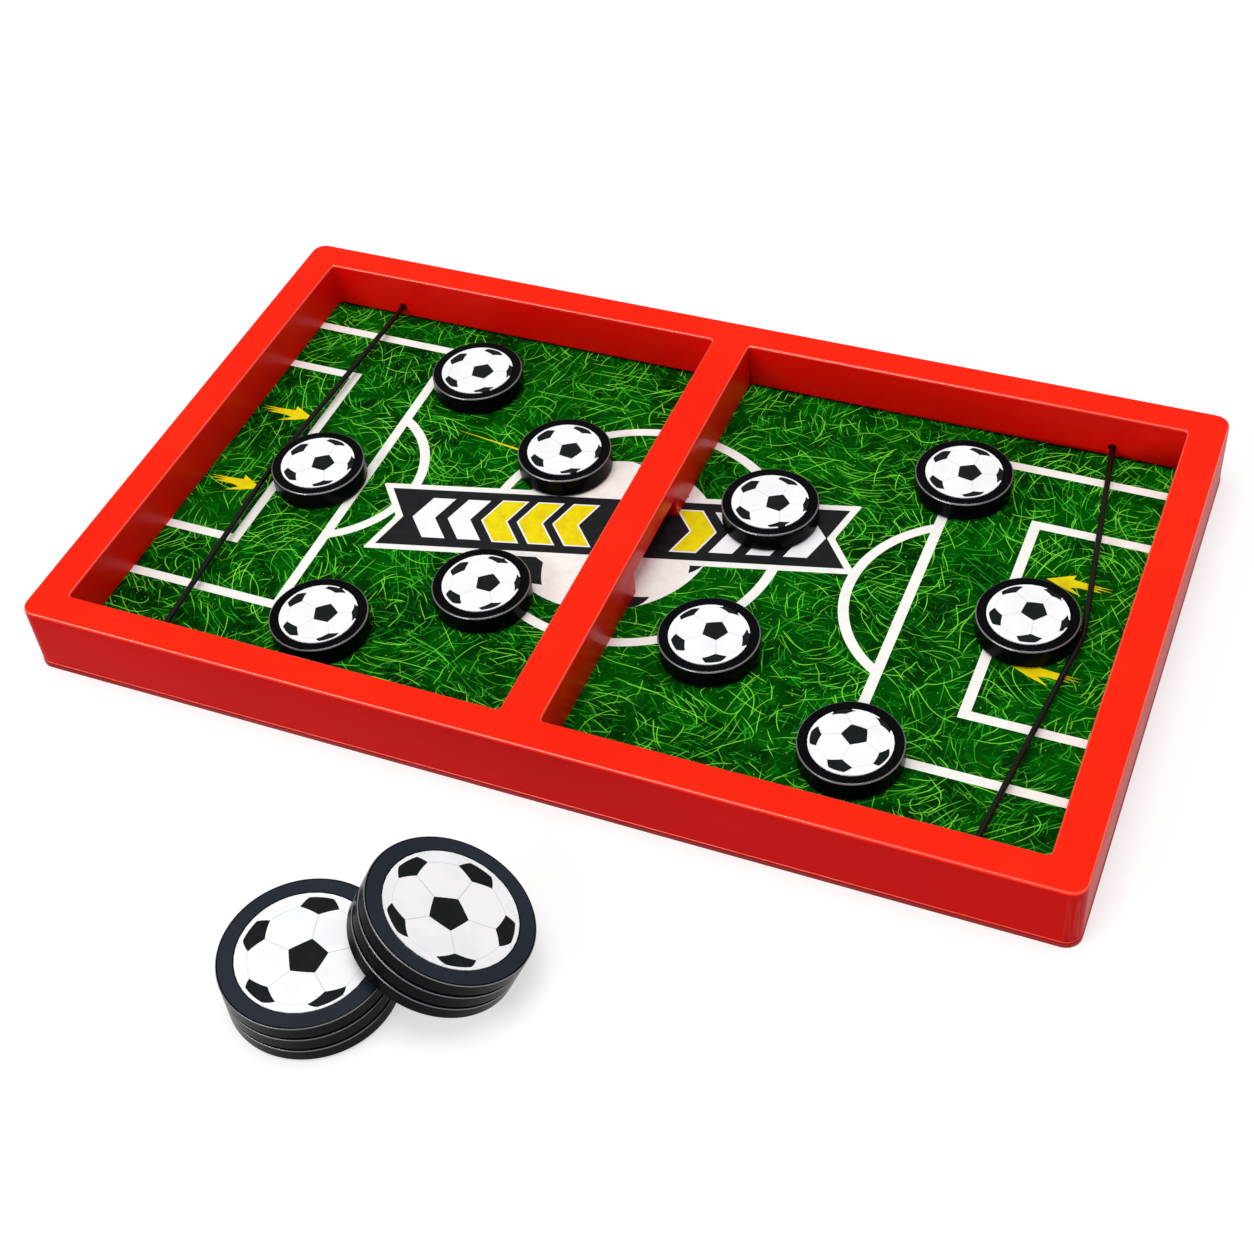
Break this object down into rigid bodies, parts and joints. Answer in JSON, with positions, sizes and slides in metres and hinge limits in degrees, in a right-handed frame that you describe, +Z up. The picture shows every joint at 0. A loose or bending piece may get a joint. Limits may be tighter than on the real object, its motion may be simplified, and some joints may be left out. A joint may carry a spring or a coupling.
{
  "type": "sling puck game",
  "caption": "Two-sided table sling puck game: a framed pitch board with a gated divider, an elastic sling at each end, round pucks in play and two stacks of loose discs.",
  "frame": {"origin": "middle of the board's underside, on the table", "axes": "+X along the board from the left player's end to the right player's end, +Y across the board and away from the loose discs, +Z up"},
  "size_m": [0.3504, 0.316, 0.0378],
  "materials": {
    "frame_plastic": "glossy moulded plastic with a faint orange-peel surface",
    "base_plastic": "satin moulded plastic",
    "deck_board": "plain pressed fibre board",
    "pitch_print": "printed sheet with a thin clear coat",
    "puck_plastic": "glossy black moulded plastic",
    "label_print": "printed label with a satin film",
    "elastic_cord": "round elastic with a fine woven cover",
    "screw_steel": "zinc-plated steel"
  },
  "bodies": {
    "board": {"playing_frame": "frame_plastic", "base_panel": "base_plastic", "play_deck": "deck_board", "pitch_sheet": "pitch_print", "sling_cord_left": "elastic_cord", "sling_cord_right": "elastic_cord", "base_screw_1": "screw_steel", "base_screw_2": "screw_steel", "base_screw_3": "screw_steel", "base_screw_4": "screw_steel", "base_screw_5": "screw_steel", "base_screw_6": "screw_steel", "base_screw_7": "screw_steel", "base_screw_8": "screw_steel"},
    "puck_left_1": {"puck_left_1": "puck_plastic", "puck_label_left_1": "label_print"},
    "puck_left_2": {"puck_left_2": "puck_plastic", "puck_label_left_2": "label_print"},
    "puck_left_3": {"puck_left_3": "puck_plastic", "puck_label_left_3": "label_print"},
    "puck_left_4": {"puck_left_4": "puck_plastic", "puck_label_left_4": "label_print"},
    "puck_left_5": {"puck_left_5": "puck_plastic", "puck_label_left_5": "label_print"},
    "puck_right_1": {"puck_right_1": "puck_plastic", "puck_label_right_1": "label_print"},
    "puck_right_2": {"puck_right_2": "puck_plastic", "puck_label_right_2": "label_print"},
    "puck_right_3": {"puck_right_3": "puck_plastic", "puck_label_right_3": "label_print"},
    "puck_right_4": {"puck_right_4": "puck_plastic", "puck_label_right_4": "label_print"},
    "puck_right_5": {"puck_right_5": "puck_plastic", "puck_label_right_5": "label_print"},
    "loose_disc_flat_1": {"loose_disc_flat_1": "puck_plastic", "disc_label_flat_1": "label_print"},
    "loose_disc_flat_2": {"loose_disc_flat_2": "puck_plastic", "disc_label_flat_2": "label_print"},
    "loose_disc_flat_3": {"loose_disc_flat_3": "puck_plastic", "disc_label_flat_3": "label_print"},
    "loose_disc_leaning_1": {"loose_disc_leaning_1": "puck_plastic", "disc_label_leaning_1": "label_print"},
    "loose_disc_leaning_2": {"loose_disc_leaning_2": "puck_plastic", "disc_label_leaning_2": "label_print"},
    "loose_disc_leaning_3": {"loose_disc_leaning_3": "puck_plastic", "disc_label_leaning_3": "label_print"}
  },
  "joints": [
    {"name": "puck_left_1_slide", "type": "slide", "parent": "board", "child": "puck_left_1", "axis": [-1, 0, 0], "range_m": [-0.0338, 0.0262]},
    {"name": "puck_left_2_slide", "type": "slide", "parent": "board", "child": "puck_left_2", "axis": [0, 1, 0], "range_m": [-0.0341, 0.0429]},
    {"name": "puck_left_4_slide", "type": "slide", "parent": "board", "child": "puck_left_4", "axis": [0, 1, 0], "range_m": [-0.0371, 0.0299]},
    {"name": "puck_left_5_slide", "type": "slide", "parent": "board", "child": "puck_left_5", "axis": [1, 0, 0], "range_m": [-0.0285, 0.0295]},
    {"name": "puck_right_1_slide", "type": "slide", "parent": "board", "child": "puck_right_1", "axis": [1, 0, 0], "range_m": [-0.0442, 0.0238]},
    {"name": "puck_right_2_slide", "type": "slide", "parent": "board", "child": "puck_right_2", "axis": [0, 1, 0], "range_m": [-0.0305, 0.046]},
    {"name": "puck_right_4_slide", "type": "slide", "parent": "board", "child": "puck_right_4", "axis": [0, 1, 0], "range_m": [-0.0386, 0.0264]},
    {"name": "puck_right_5_slide", "type": "slide", "parent": "board", "child": "puck_right_5", "axis": [-1, 0, 0], "range_m": [-0.0226, 0.0324]},
    {"name": "left_sling_stroke", "type": "slide", "parent": "board", "child": "puck_left_3", "axis": [-1, 0, 0], "range_m": [-0.0044, 0.0234], "deforming": ["sling_cord_left"]},
    {"name": "right_sling_stroke", "type": "slide", "parent": "board", "child": "puck_right_3", "axis": [1, 0, 0], "range_m": [-0.011, 0.013], "deforming": ["sling_cord_right"]},
    {"name": "flat_disc_1_slide", "type": "slide", "parent": "board", "child": "loose_disc_flat_1", "axis": [-0.8746, -0.4848, 0], "range_m": [0, 0.08]},
    {"name": "flat_disc_2_slide", "type": "slide", "parent": "loose_disc_flat_1", "child": "loose_disc_flat_2", "axis": [-0.8746, -0.4848, 0], "range_m": [0, 0.02]},
    {"name": "flat_disc_3_slide", "type": "slide", "parent": "loose_disc_flat_2", "child": "loose_disc_flat_3", "axis": [-0.8746, -0.4848, 0], "range_m": [0, 0.02]},
    {"name": "leaning_disc_1_lift", "type": "slide", "parent": "board", "child": "loose_disc_leaning_1", "axis": [0.4039, 0.2239, 0.887], "range_m": [0, 0.03]},
    {"name": "leaning_disc_2_lift", "type": "slide", "parent": "loose_disc_leaning_1", "child": "loose_disc_leaning_2", "axis": [0.4039, 0.2239, 0.887], "range_m": [0, 0.03]},
    {"name": "leaning_disc_3_lift", "type": "slide", "parent": "loose_disc_leaning_2", "child": "loose_disc_leaning_3", "axis": [0.4039, 0.2239, 0.887], "range_m": [0, 0.03]}
  ]
}
